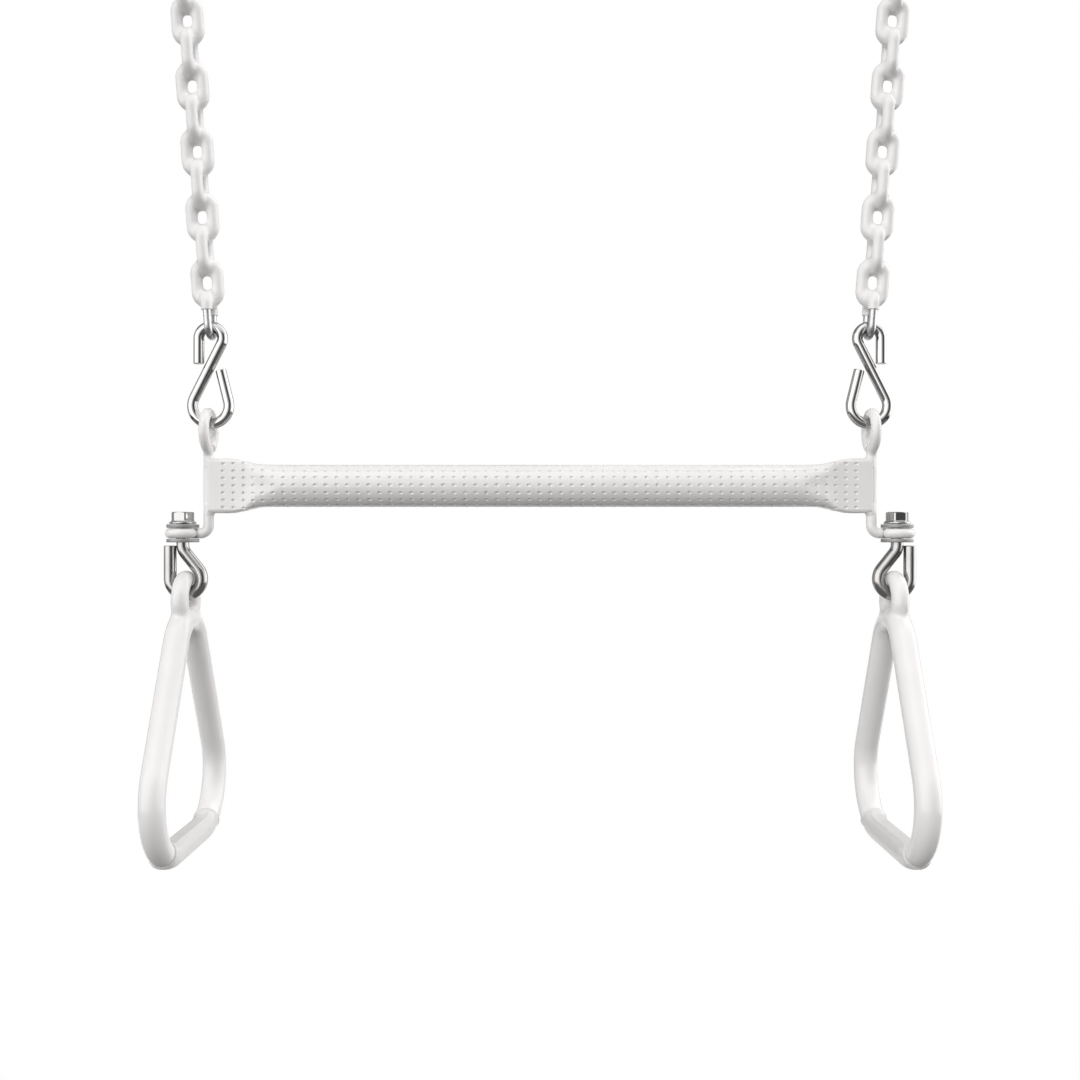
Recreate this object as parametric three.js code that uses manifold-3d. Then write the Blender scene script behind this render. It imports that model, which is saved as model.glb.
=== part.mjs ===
// Trapeze bar with two stirrup handles, hung by two coated chains.
// Sizes are in millimetres. +X runs along the bar, +Y away from the viewer and +Z up.
// The origin is midway between the two top links, level with the inside of their upper bows,
// where the hangers of a swing frame carry them.

import * as THREE from 'three';
import { mergeVertices } from 'three/addons/utils/BufferGeometryUtils.js';
import Module from 'manifold-3d';

const wasm = await Module();
wasm.setup();

// Gap left between pieces that bear on each other
const clearance = 0.3;
const degree = Math.PI / 180;

// Crossbar tube, pressed flat at both ends
const tubeLength = 424;
const tubeDiameter = 26.9;
const tubeWall = 1.6;
const tubeFlatHeight = 34.9;
const tubeFlatCorner = 2;
const tubeFlatLength = 13;
const tubeFlareLength = 24;
const tubeFadeLength = 34;

// Brackets, each one bent rod welded into an end of the tube
const bracketRod = 6.5;
const upperEyeBore = 16.7;
const upperNeckInside = 2.75;
const upperStem = 1;
const lowerStem = 7.6;
const bracketBendInside = 2.05;
const lowerNeckInside = 0.95;
const lowerEyePlay = 0.55;
const eyeMouth = 24 * degree;

// S-hooks between brackets and chains
const sHookWire = 6.8;
const sHookUpperBore = 8.4;
const sHookLowerBore = 16.5;
const sHookSpacing = 43;
const sHookMouth = 0.5;
const sHookInset = 1.3;
const sHookLean = 13.8 * degree;

// Chains
const linkCount = 11;
const linkPitch = 21;
const linkWire = 5;
const linkCoat = 0.85;
const linkSidePlay = 0.5;
const chainLean = 4.35 * degree;

// Swivels under the lower eyes of the brackets
const hookWire = 8;
const hookStem = 1.5;
const hookBendInside = 5;
const hookSlope = 38.5 * degree;
const hookLoopPlay = 0.55;
const hookLoopInset = 2;
const hookMouth = 2.1;
const washerDiameter = 20.3;
const washerThickness = 2.2;
const nutAcrossFlats = 13;
const nutHeight = 5.8;
const nutFlangeDiameter = 16.8;
const nutFlangeThickness = 1.8;
const nutRecess = 0.6;
const nutTurn = 3 * degree;

// Stirrup handles and their grips
const handleCore = 12.7;
const handleCoat = 1.55;
const handleEyeRod = 11;
const handleEyeBore = 16.2;
const handleEyeLift = 1.75;
const handleHeight = 138.6;
const handleFlat = 66;
const handleApexInside = 15.6;
const handleCornerInside = 28.1;
const gripWall = 1.7;
const gripFlatShare = 0.55;
const gripWrap = 25 * degree;

// Facets
const linkSides = 8;
const linkStep = 30 * degree;
const barSides = 8;
const bendStep = 24 * degree;
const handleSides = 10;
const gripSides = 12;
const tubeSides = 24;
const roundSides = 20;

// Sizes that follow from the ones above
const bracketRadius = bracketRod / 2;
const upperEyeRadius = upperEyeBore / 2 + bracketRadius;
const upperNeckRadius = upperNeckInside + bracketRadius;
const lowerEyeRadius = hookWire / 2 + lowerEyePlay + bracketRadius;
const lowerNeckRadius = lowerNeckInside + bracketRadius;
const bracketBendRadius = bracketBendInside + bracketRadius;
const flatHalfHeight = tubeFlatHeight / 2;
const shankX = tubeLength / 2;
const upperEyeZ = flatHalfHeight + upperStem + neckReach(upperEyeRadius, upperNeckRadius);
const lowerEyeZ = -flatHalfHeight - lowerStem - bracketBendRadius;
const swivelX = shankX + bracketBendRadius + neckReach(lowerEyeRadius, lowerNeckRadius);

const sHookRadius = sHookWire / 2;
const sHookUpperRadius = sHookUpperBore / 2 + sHookRadius;
const sHookLowerRadius = sHookLowerBore / 2 + sHookRadius;
const sHookX = shankX - sHookInset;
const sHookFootZ = upperEyeZ + upperEyeRadius - bracketRadius - sHookRadius - clearance;
const sHookCrownZ = sHookFootZ + sHookLowerRadius + sHookSpacing + sHookUpperRadius;

const linkRadius = linkWire / 2 + linkCoat;
const linkBowRadius = 2 * linkRadius + linkSidePlay;
const linkSpan = linkPitch + 2 * linkRadius + clearance;
const bareSpan = linkPitch + linkWire + clearance;
const chainUp = new THREE.Vector3(Math.sin(chainLean), 0, Math.cos(chainLean));
const chainFoot = bareSpan - linkSpan / 2 - linkWire / 2 - sHookRadius - clearance;
const hangReach = (linkCount - 1) * linkPitch + linkSpan / 2 - linkRadius;
const hangZ = sHookCrownZ + (chainFoot + hangReach) * chainUp.z;

const hookRadius = hookWire / 2;
const hookLoopRadius = handleEyeRod / 2 + hookLoopPlay + hookRadius;
const hookBendRadius = hookBendInside + hookRadius;
const upperWasherZ = lowerEyeZ + bracketRadius + clearance;
const nutZ = upperWasherZ + washerThickness + clearance;
const lowerWasherZ = lowerEyeZ - bracketRadius - clearance - washerThickness;
const hookTopZ = nutZ + nutFlangeThickness + nutHeight - nutRecess;
const hookBendZ = lowerWasherZ - hookStem;
const boltBore = hookRadius + clearance;

const handleRadius = handleCore / 2 + handleCoat;
const handleEyeRadius = (handleEyeBore + handleEyeRod) / 2;
const handleApexRadius = handleApexInside + handleRadius;
const handleCornerRadius = handleCornerInside + handleRadius;
const gripBore = handleCore / 2 + clearance;
const gripRadius = gripBore + gripWall;

// How far an eye's centre lies from the straight rod that bends into it
function neckReach(eyeRadius, neckRadius) {
  return Math.sqrt(eyeRadius * eyeRadius + 2 * eyeRadius * neckRadius);
}

// Flat routes run round pegs. A peg is a circle with a turn of 1 to the left or -1 to the
// right, and a peg without a radius is a plain point.
function peg(x, y, radius = 0, turn = 1) {
  return { centre: new THREE.Vector2(x, y), radius, turn };
}

function headingBetween(from, to) {
  const across = to.centre.clone().sub(from.centre);
  const offset = to.turn * to.radius - from.turn * from.radius;
  const run = Math.sqrt(Math.max(across.lengthSq() - offset * offset, 0));
  return across.angle() - Math.atan2(offset, run);
}

function stationOn(place, heading) {
  const reach = place.turn * place.radius;
  const point = new THREE.Vector2(Math.sin(heading), -Math.cos(heading));
  point.multiplyScalar(reach).add(place.centre);
  return { point, heading };
}

// The stations round one peg, from the heading on arrival to the heading on leaving
function roundPeg(place, arriving, leaving, step) {
  if (place.radius === 0) {
    return [stationOn(place, leaving)];
  }
  const full = 2 * Math.PI;
  const slack = 1e-9;
  const sweep = (((leaving - arriving) * place.turn + slack) % full + full) % full - slack;
  const count = Math.max(1, Math.ceil(sweep / step - slack));
  const stations = [];
  for (let index = 0; index <= count; index += 1) {
    stations.push(stationOn(place, arriving + place.turn * sweep * index / count));
  }
  return stations;
}

// Stations closer together than this are one station
const samePlace = 0.01;

// A route round a row of pegs, as a string would lie. first and last are the headings at
// the two ends of an open route.
function pegRoute(pegs, { closed = false, first = null, last = null, step = bendStep } = {}) {
  const count = pegs.length;
  const leaving = pegs.map((place, index) => {
    if (index < count - 1 || closed) {
      return headingBetween(place, pegs[(index + 1) % count]);
    }
    return last;
  });
  const arriving = pegs.map((place, index) => {
    if (index > 0 || closed) {
      return leaving[(index + count - 1) % count];
    }
    return first;
  });
  if (leaving[count - 1] === null) {
    leaving[count - 1] = arriving[count - 1];
  }
  const stations = [];
  pegs.forEach((place, index) => {
    for (const station of roundPeg(place, arriving[index], leaving[index], step)) {
      const previous = stations[stations.length - 1];
      if (!previous || previous.point.distanceTo(station.point) > samePlace) {
        stations.push(station);
      }
    }
  });
  return stations;
}

// Sets a flat route in space. right and up are the directions of its two axes.
function inSpace(route, origin, right, up) {
  return route.map(({ point, heading }) => ({
    point: origin.clone().addScaledVector(right, point.x).addScaledVector(up, point.y),
    along: right.clone().multiplyScalar(Math.cos(heading)).addScaledVector(up, Math.sin(heading)),
  }));
}

function reversed(stations) {
  return stations.map(({ point, along }) => ({ point, along: along.clone().negate() })).reverse();
}

const xAxis = new THREE.Vector3(1, 0, 0);
const yAxis = new THREE.Vector3(0, 1, 0);
const zAxis = new THREE.Vector3(0, 0, 1);
const noShift = new THREE.Vector3();

// A ring of points round each station. outline gives each point as [out, across], where out
// points along the first normal, carried along the route without twist.
function rowsOfPoints(stations, firstNormal, outlineAt) {
  let normal = firstNormal.clone();
  return stations.map((station, index) => {
    normal = normal.clone().addScaledVector(station.along, -normal.dot(station.along)).normalize();
    const side = new THREE.Vector3().crossVectors(station.along, normal);
    return outlineAt(station, index).map(([out, across]) => (
      station.point.clone().addScaledVector(normal, out).addScaledVector(side, across)
    ));
  });
}

function roundOutline(radius, sides) {
  const outline = [];
  for (let index = 0; index < sides; index += 1) {
    const angle = 2 * Math.PI * index / sides;
    outline.push([radius * Math.cos(angle), radius * Math.sin(angle)]);
  }
  return outline;
}

// Joins rows of points into one skin. A closed skin runs on from the last row to the first,
// and an open one gets a flat cap at each end.
function skin(rows, closed) {
  const width = rows[0].length;
  const index = [];
  const bands = closed ? rows.length : rows.length - 1;
  for (let band = 0; band < bands; band += 1) {
    const near = band * width;
    const far = ((band + 1) % rows.length) * width;
    for (let step = 0; step < width; step += 1) {
      const next = (step + 1) % width;
      index.push(near + step, near + next, far + next);
      index.push(near + step, far + next, far + step);
    }
  }
  if (!closed) {
    const end = (rows.length - 1) * width;
    for (let step = 1; step < width - 1; step += 1) {
      index.push(0, step + 1, step);
      index.push(end, end + step, end + step + 1);
    }
  }
  const geometry = new THREE.BufferGeometry();
  const positions = rows.flat().flatMap((point) => point.toArray());
  geometry.setAttribute('position', new THREE.Float32BufferAttribute(positions, 3));
  geometry.setIndex(index);
  return geometry;
}

function bentBar(stations, firstNormal, radius, sides = barSides) {
  return skin(rowsOfPoints(stations, firstNormal, () => roundOutline(radius, sides)), false);
}

function closedBar(stations, firstNormal, radius, sides = barSides) {
  return skin(rowsOfPoints(stations, firstNormal, () => roundOutline(radius, sides)), true);
}

// A hollow sleeve on a route: the outer rows out, then the inner rows back
function sleeve(stations, firstNormal, outerOutline, innerOutline) {
  const outer = rowsOfPoints(stations, firstNormal, () => outerOutline);
  const inner = rowsOfPoints(stations, firstNormal, () => innerOutline);
  return skin([...outer, ...inner.reverse()], true);
}

// Pieces are drawn for the right-hand side. The left-hand ones are their mirror images.
function forSide(geometry, side) {
  if (side > 0) {
    return geometry;
  }
  geometry.scale(-1, 1, 1);
  const order = geometry.index.array;
  for (let corner = 0; corner < order.length; corner += 3) {
    [order[corner + 1], order[corner + 2]] = [order[corner + 2], order[corner + 1]];
  }
  return geometry;
}

function toSolid(geometry) {
  const bare = new THREE.BufferGeometry();
  bare.setAttribute('position', geometry.attributes.position);
  bare.setIndex(geometry.index);
  const merged = mergeVertices(bare);
  return new wasm.Manifold(new wasm.Mesh({
    numProp: 3,
    vertProperties: new Float32Array(merged.attributes.position.array),
    triVerts: new Uint32Array(merged.index.array),
  }));
}

function toGeometry(solid) {
  const mesh = solid.getMesh();
  const geometry = new THREE.BufferGeometry();
  geometry.setAttribute('position', new THREE.Float32BufferAttribute(mesh.vertProperties, 3));
  geometry.setIndex([...mesh.triVerts]);
  return geometry;
}

// A turned piece with its axis upright. The profile lists radius and height.
function turned(profile, sides = roundSides) {
  const geometry = new THREE.LatheGeometry(profile.map(([r, z]) => new THREE.Vector2(r, z)), sides);
  geometry.rotateX(Math.PI / 2);
  return geometry;
}

function uprightRod(radius, low, high) {
  return turned([[0, low], [radius, low], [radius, high], [0, high]]);
}

// The tube's outline at one place, with its half height and half front flat given: corners
// of one radius joined by flats. The girth stays that of the round tube, which sets the depth.
function tubeRow({ x, high, front }, inset) {
  const corner = high - front;
  const radius = corner - inset;
  const deep = (Math.PI * tubeDiameter - 2 * Math.PI * corner - 4 * front) / 4;
  const row = [];
  for (let index = 0; index < tubeSides; index += 1) {
    const angle = 2 * Math.PI * (index + 1 / 2) / tubeSides;
    const out = Math.sign(Math.cos(angle)) * deep + radius * Math.cos(angle);
    const up = Math.sign(Math.sin(angle)) * front + radius * Math.sin(angle);
    row.push(new THREE.Vector3(x, out, up));
  }
  return row;
}

// Along the flare the height falls first, and the flat front then fades into the round
function trapezeTube() {
  const placeShares = [0, 0.18, 0.3, 0.44, 0.54, 0.74, 1];
  const frontShares = [1, 1, 0.93, 0.68, 0.42, 0.3, 0];
  const fullFront = flatHalfHeight - tubeFlatCorner;
  const half = placeShares.map((share, index) => {
    const fade = share * tubeFadeLength;
    const fall = THREE.MathUtils.smoothstep(fade, 0, tubeFlareLength);
    const high = THREE.MathUtils.lerp(flatHalfHeight, tubeDiameter / 2, fall);
    const front = Math.min(frontShares[index] * fullFront, high - tubeFlatCorner);
    return { x: shankX - tubeFlatLength - fade, high, front };
  });
  half.unshift({ ...half[0], x: shankX });
  const places = [...half.map((place) => ({ ...place, x: -place.x })), ...half.reverse()];
  const outer = places.map((place) => tubeRow(place, 0));
  const inner = places.map((place) => tubeRow(place, tubeWall)).reverse();
  let solid = toSolid(skin([...outer, ...inner], true));
  for (const side of [-1, 1]) {
    const reach = flatHalfHeight + tubeWall;
    const slot = uprightRod(bracketRadius + clearance, -reach, reach);
    slot.translate(side * shankX, 0, 0);
    solid = solid.subtract(toSolid(slot));
  }
  return toGeometry(solid);
}

// An eye bent from the end of a rod, drawn with its centre at the origin and its straight
// rod below it. It starts at the cut end, which stops just short of the neck.
function eyeRoute(eyeRadius, neckRadius) {
  const reach = neckReach(eyeRadius, neckRadius);
  return pegRoute(
    [peg(0, 0, eyeRadius, -1), peg(neckRadius, -reach, neckRadius, 1)],
    { first: Math.PI - eyeMouth, last: -Math.PI / 2 },
  );
}

function bracket(side) {
  const upper = inSpace(
    eyeRoute(upperEyeRadius, upperNeckRadius),
    new THREE.Vector3(shankX, 0, upperEyeZ),
    yAxis.clone().negate(),
    zAxis,
  );
  const bend = inSpace(
    pegRoute(
      [peg(shankX + bracketBendRadius, lowerEyeZ + bracketBendRadius, bracketBendRadius, 1)],
      { first: -Math.PI / 2, last: 0 },
    ),
    noShift,
    xAxis,
    zAxis,
  );
  const lower = inSpace(
    eyeRoute(lowerEyeRadius, lowerNeckRadius),
    new THREE.Vector3(swivelX, 0, lowerEyeZ),
    yAxis,
    xAxis,
  );
  const arrival = reversed(lower).slice(1);
  return forSide(bentBar([...upper, ...bend, ...arrival], xAxis, bracketRadius), side);
}

// Both ends of an S-hook are closed until they nearly touch the sloping middle
function sHook(side) {
  const upper = peg(0, sHookSpacing / 2, sHookUpperRadius, 1);
  const lower = peg(0, -sHookSpacing / 2, sHookLowerRadius, -1);
  const slope = headingBetween(upper, lower);
  const onSlope = stationOn(upper, slope).point;
  const awayFromSlope = new THREE.Vector2(-Math.sin(slope), Math.cos(slope));
  const gap = sHookWire + sHookMouth;
  const closeTo = (start, heading) => {
    const lift = Math.abs(start.clone().sub(onSlope).dot(awayFromSlope));
    const reach = (lift - gap) / Math.abs(Math.sin(heading - slope));
    return new THREE.Vector2(Math.cos(heading), Math.sin(heading)).multiplyScalar(reach).add(start);
  };
  const shortHeading = Math.PI / 2;
  const longHeading = Math.PI / 2 - sHookLean;
  const shortEnd = closeTo(stationOn(upper, shortHeading).point, shortHeading + Math.PI);
  const longEnd = closeTo(stationOn(lower, longHeading).point, longHeading);
  const route = pegRoute(
    [peg(shortEnd.x, shortEnd.y), upper, lower, peg(longEnd.x, longEnd.y)],
  );
  return forSide(bentBar(inSpace(route, noShift, xAxis, zAxis), yAxis, sHookRadius), side);
}

function linkRoute(span, shift) {
  const half = span / 2 - linkBowRadius;
  const pegs = [peg(0, shift + half, linkBowRadius, 1), peg(0, shift - half, linkBowRadius, 1)];
  return inSpace(pegRoute(pegs, { closed: true, step: linkStep }), noShift, xAxis, zAxis);
}

function coatedLink() {
  return closedBar(linkRoute(linkSpan, 0), yAxis, linkRadius, linkSides);
}

// The lowest link is bare below, and its coating ends halfway down
const bareShift = (linkSpan - bareSpan) / 2;

function bareLink() {
  return closedBar(linkRoute(bareSpan, bareShift), yAxis, linkWire / 2, linkSides);
}

function linkCoating() {
  const bow = peg(0, linkSpan / 2 - linkBowRadius, linkBowRadius, 1);
  const route = pegRoute([peg(linkBowRadius, 0), bow, peg(-linkBowRadius, 0)], { step: linkStep });
  return sleeve(
    inSpace(route, noShift, xAxis, zAxis),
    yAxis,
    roundOutline(linkRadius, linkSides),
    roundOutline(linkWire / 2 + clearance, linkSides),
  );
}

// The swivel hook's route, with x measured from the swivel's axis away from the bar
function swivelHookRoute() {
  const inward = hookBendRadius - hookLoopInset;
  const radii = hookLoopRadius + hookBendRadius;
  const run = (radii * Math.cos(hookSlope) - inward) / Math.sin(hookSlope);
  const loopZ = hookBendZ - radii * Math.sin(hookSlope) - run * Math.cos(hookSlope);
  const route = pegRoute([
    peg(0, hookTopZ),
    peg(-hookBendRadius, hookBendZ, hookBendRadius, -1),
    peg(-hookLoopInset, loopZ, hookLoopRadius, 1),
    peg(hookLoopRadius - hookLoopInset, lowerWasherZ - hookMouth),
  ]);
  return { route, loopZ };
}

const swivelHookLine = swivelHookRoute();

function swivelHook(side) {
  const stations = inSpace(swivelHookLine.route, noShift, xAxis, zAxis);
  return forSide(bentBar(stations, yAxis, hookRadius), side);
}

function washer() {
  const outer = washerDiameter / 2;
  return turned([
    [boltBore, 0],
    [outer, 0],
    [outer, washerThickness],
    [boltBore, washerThickness],
    [boltBore, 0],
  ]);
}

function swivelNut(side) {
  const across = nutAcrossFlats / 2;
  const corner = across / Math.cos(Math.PI / 6);
  const chamfer = corner - across;
  const hexagon = new THREE.Shape();
  for (let index = 0; index < 6; index += 1) {
    const angle = index * Math.PI / 3 - side * nutTurn;
    const move = index === 0 ? 'moveTo' : 'lineTo';
    hexagon[move](corner * Math.cos(angle), corner * Math.sin(angle));
  }
  const root = -nutFlangeThickness / 2;
  const prism = new THREE.ExtrudeGeometry(hexagon, { depth: nutHeight - root, bevelEnabled: false });
  prism.translate(0, 0, root);
  const dome = turned([
    [0, root],
    [corner, root],
    [corner, nutHeight - chamfer],
    [across, nutHeight],
    [0, nutHeight],
  ]);
  const flange = uprightRod(nutFlangeDiameter / 2, -nutFlangeThickness, 0);
  const height = nutHeight + nutFlangeThickness;
  const bore = uprightRod(boltBore, -height, height);
  const hexHead = toSolid(prism).intersect(toSolid(dome));
  const solid = hexHead.add(toSolid(flange)).subtract(toSolid(bore));
  return toGeometry(solid);
}

// The handle's loop, drawn with the top of its centre line at the origin
function handlePegs() {
  const cornerZ = handleCornerRadius - handleHeight;
  return [
    peg(0, -handleApexRadius, handleApexRadius, 1),
    peg(-handleFlat / 2, cornerZ, handleCornerRadius, 1),
    peg(handleFlat / 2, cornerZ, handleCornerRadius, 1),
  ];
}

// The part of the loop that the grip covers, ending some way round both corners
function gripRoute(wrap) {
  const [, left, right] = handlePegs();
  return pegRoute([left, right], { first: -wrap, last: wrap });
}

// The loop's rod is thinner under the grip, so that the grip's ends meet a shoulder
function handleLoop() {
  const shoulder = clearance / handleCornerRadius;
  const covered = inSpace(gripRoute(gripWrap + shoulder), noShift, yAxis, zAxis);
  const [apex, left, right] = handlePegs();
  const rest = inSpace(
    pegRoute([right, apex, left], { first: gripWrap + shoulder, last: -gripWrap - shoulder }),
    noShift,
    yAxis,
    zAxis,
  );
  const thick = rowsOfPoints(rest, xAxis, () => roundOutline(handleRadius, handleSides));
  const thin = rowsOfPoints(covered, xAxis, () => roundOutline(handleCore / 2, handleSides));
  return skin([...thick, ...thin], true);
}

function handle() {
  const eyePeg = peg(0, handleEyeRadius + handleEyeLift, handleEyeRadius, 1);
  const rising = pegRoute([eyePeg], { first: 0, last: Math.PI });
  const falling = pegRoute([eyePeg], { first: Math.PI, last: 2 * Math.PI });
  const eyeLine = inSpace([...rising, ...falling.slice(1, -1)], noShift, yAxis, zAxis);
  const eye = closedBar(eyeLine, xAxis, handleEyeRod / 2);
  return toGeometry(toSolid(handleLoop()).add(toSolid(eye)));
}

// The grip is round with a flat along its top, which faces the inside of the handle
function grip() {
  const flat = gripRadius - gripFlatShare * gripWall;
  const outline = roundOutline(gripRadius, gripSides).map(([out, across]) => (
    [out, Math.max(across, -flat)]
  ));
  const stations = inSpace(gripRoute(gripWrap), noShift, yAxis, zAxis);
  return sleeve(stations, xAxis, outline, roundOutline(gripBore, gripSides));
}

function finish(color, roughness, metalness) {
  return () => new THREE.MeshStandardMaterial({ color, roughness, metalness });
}

const whiteCoat = finish(0xe8e6e3, 0.35, 0);
const whitePaint = finish(0xe6e4e1, 0.42, 0);
const gripPlastic = finish(0xe4e2df, 0.38, 0);
const polishedSteel = finish(0xb4b5b6, 0.18, 1);
const zincPlate = finish(0xb2b4b4, 0.4, 1);
const galvanised = finish(0xa5a7a8, 0.45, 1);

const trapeze = new THREE.Group();
trapeze.position.z = -hangZ;

function addPiece(parent, name, geometry, makeMaterial, x = 0, z = 0) {
  const mesh = new THREE.Mesh(geometry, makeMaterial());
  mesh.name = name;
  mesh.position.set(x, 0, z);
  parent.add(mesh);
  return mesh;
}

function addChain(side, sideName) {
  const chain = new THREE.Group();
  const foot = chainUp.clone().multiplyScalar(chainFoot);
  chain.position.set(side * (sHookX + foot.x), 0, sHookCrownZ + foot.z);
  chain.rotation.y = side * chainLean;
  trapeze.add(chain);
  for (let number = 1; number <= linkCount; number += 1) {
    const name = `${sideName}_chain_link_${String(number).padStart(2, '0')}`;
    const geometry = number === 1 ? bareLink() : coatedLink();
    const material = number === 1 ? galvanised : whiteCoat;
    const link = addPiece(chain, name, geometry, material, 0, (number - 1) * linkPitch);
    link.rotation.z = number % 2 === 1 ? Math.PI / 2 : 0;
  }
  const coating = addPiece(chain, `${sideName}_link_coating`, linkCoating(), whiteCoat);
  coating.rotation.z = Math.PI / 2;
}

addPiece(trapeze, 'trapeze_tube', trapezeTube(), whitePaint);

for (const [side, sideName] of [[-1, 'left'], [1, 'right']]) {
  const sHookZ = sHookFootZ + sHookLowerRadius + sHookSpacing / 2;
  const handleX = side * (swivelX - hookLoopInset);
  const eyeCrownZ = swivelHookLine.loopZ - hookLoopRadius + hookRadius + clearance + handleEyeRod / 2;
  const handleZ = eyeCrownZ - 2 * handleEyeRadius - handleEyeLift;
  addPiece(trapeze, `${sideName}_bracket`, bracket(side), whitePaint);
  addPiece(trapeze, `${sideName}_s_hook`, sHook(side), polishedSteel, side * sHookX, sHookZ);
  addChain(side, sideName);
  addPiece(trapeze, `${sideName}_upper_washer`, washer(), zincPlate, side * swivelX, upperWasherZ);
  addPiece(trapeze, `${sideName}_lower_washer`, washer(), zincPlate, side * swivelX, lowerWasherZ);
  addPiece(
    trapeze,
    `${sideName}_swivel_nut`,
    swivelNut(side),
    polishedSteel,
    side * swivelX,
    nutZ + nutFlangeThickness,
  );
  addPiece(trapeze, `${sideName}_swivel_hook`, swivelHook(side), polishedSteel, side * swivelX, 0);
  addPiece(trapeze, `${sideName}_handle`, handle(), whiteCoat, handleX, handleZ);
  addPiece(trapeze, `${sideName}_grip`, grip(), gripPlastic, handleX, handleZ);
}

export default trapeze;
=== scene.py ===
import math

import bpy
import numpy as np
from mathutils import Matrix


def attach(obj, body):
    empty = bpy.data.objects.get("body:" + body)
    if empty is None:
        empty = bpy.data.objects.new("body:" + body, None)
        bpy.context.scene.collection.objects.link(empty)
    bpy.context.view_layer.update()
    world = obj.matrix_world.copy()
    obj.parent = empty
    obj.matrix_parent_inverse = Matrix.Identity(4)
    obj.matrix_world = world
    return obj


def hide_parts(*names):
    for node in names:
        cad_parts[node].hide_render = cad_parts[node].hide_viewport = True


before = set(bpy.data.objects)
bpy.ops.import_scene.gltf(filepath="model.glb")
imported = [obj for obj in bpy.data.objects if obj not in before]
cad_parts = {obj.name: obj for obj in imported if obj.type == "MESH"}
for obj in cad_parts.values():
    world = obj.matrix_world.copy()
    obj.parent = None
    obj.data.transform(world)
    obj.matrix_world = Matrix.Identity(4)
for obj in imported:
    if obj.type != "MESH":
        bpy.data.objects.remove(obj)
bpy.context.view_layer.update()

# Trapeze bar with two stirrup handles. Lengths are in millimetres until a mesh is made. X runs
# along the bar, Y away from the camera and Z up, and heights are measured from the bar's axis,
# which lies HANG below the frame's origin.
DEG = math.pi / 180
MM = 0.001
ORIGIN = (0, 0, 0)
X_AXIS = (1, 0, 0)
Y_AXIS = (0, 1, 0)
Z_AXIS = (0, 0, 1)

# Gap between pieces that bear on each other
GAP = 0.3

# Camera: its distance from the bar and its drop below the bar's axis
SENSOR_WIDTH = 36
LENS = 40.47
CLIP_START = 0.01
CAMERA_AWAY = 777.0
CAMERA_DROP = 34.6

# Crossbar tube
TUBE_LENGTH = 424.0
TUBE_DIAMETER = 26.9
FLAT_HEIGHT = 34.9
FLAT_CORNER = 2.0
FLAT_LENGTH = 13.0
FLARE_LENGTH = 24.0
FADE_LENGTH = 34.0

# Brackets
BRACKET_R = 3.25
UPPER_EYE_R = 11.6
UPPER_NECK_R = 6.0
UPPER_STEM = 1.0
LOWER_STEM = 7.6
LOWER_EYE_R = 7.8
LOWER_NECK_R = 4.2
BRACKET_BEND_R = 5.3
EYE_MOUTH = 24 * DEG

# S-hooks
S_R = 3.4
S_UPPER_R = 7.6
S_LOWER_R = 11.65
S_SPACING = 43.0
S_MOUTH = 0.35
S_INSET = 1.3
S_LEAN = 13.8 * DEG

# Chains. The solids' links are longer and thinner, since the coats drawn here run into each other.
LINKS = 11
PITCH = 21.0
CHAIN_LEAN = 4.35 * DEG
CHAIN_FOOT = 6.1
CHAIN_LIFT = 0.9
LINK_HALF = 12.6
LINK_BOW = 6.7
BARE_FOOT = 12.3 + CHAIN_LIFT
WIRE_R = 2.5
COAT_R = 3.65
CAD_LINK_HALF = 14
CAD_LINK_R = 3.35

# Swivels
HOOK_R = 4.0
HOOK_STEM = 1.5
HOOK_BEND_R = 9.0
HOOK_SLOPE = 38.5 * DEG
HOOK_LOOP_R = 10.05
HOOK_INSET = 2.0
HOOK_MOUTH = 2.1
WASHER_R = 10.15
WASHER_T = 2.2
NUT_FLATS = 13.0
NUT_H = 5.8
NUT_TURN = 3 * DEG
NUT_RECESS = 0.6
FLANGE_R = 8.4
FLANGE_T = 1.8

# Stirrup handles and grips
HANDLE_CORE = 6.35
HANDLE_R = 7.9
EYE_R = 13.6
EYE_ROD = 5.5
EYE_LIFT = 1.75
HANDLE_H = 138.6
HANDLE_FLAT = 64.5
APEX_R = 23.5
APEX_LIFT = 3.0
CORNER_R = 36.0
GRIP_BORE = 6.65
GRIP_R = 8.35
GRIP_WRAP = 27 * DEG


def neck_reach(eye, neck):
    return math.sqrt(eye * eye + 2 * eye * neck)


# Places that follow from the sizes above
FLAT_HALF = FLAT_HEIGHT / 2
SHANK_X = TUBE_LENGTH / 2
UPPER_EYE_Z = FLAT_HALF + UPPER_STEM + neck_reach(UPPER_EYE_R, UPPER_NECK_R)
LOWER_EYE_Z = -FLAT_HALF - LOWER_STEM - BRACKET_BEND_R
SWIVEL_X = SHANK_X + BRACKET_BEND_R + neck_reach(LOWER_EYE_R, LOWER_NECK_R)
S_X = SHANK_X - S_INSET
S_FOOT_Z = UPPER_EYE_Z + UPPER_EYE_R - BRACKET_R - S_R - GAP
S_Z = S_FOOT_Z + S_LOWER_R + S_SPACING / 2
S_CROWN_Z = S_Z + S_SPACING / 2 + S_UPPER_R
CHAIN_UP = np.array([math.sin(CHAIN_LEAN), 0, math.cos(CHAIN_LEAN)])
CHAIN_ORIGIN = np.array([S_X, 0, S_CROWN_Z]) + CHAIN_FOOT * CHAIN_UP
CAD_LINK_REACH = CAD_LINK_HALF - CAD_LINK_R
HANG = S_CROWN_Z + (CHAIN_FOOT + (LINKS - 1) * PITCH + CAD_LINK_REACH) * CHAIN_UP[2]
UPPER_WASHER_Z = LOWER_EYE_Z + BRACKET_R + GAP
NUT_Z = UPPER_WASHER_Z + WASHER_T + GAP
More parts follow.
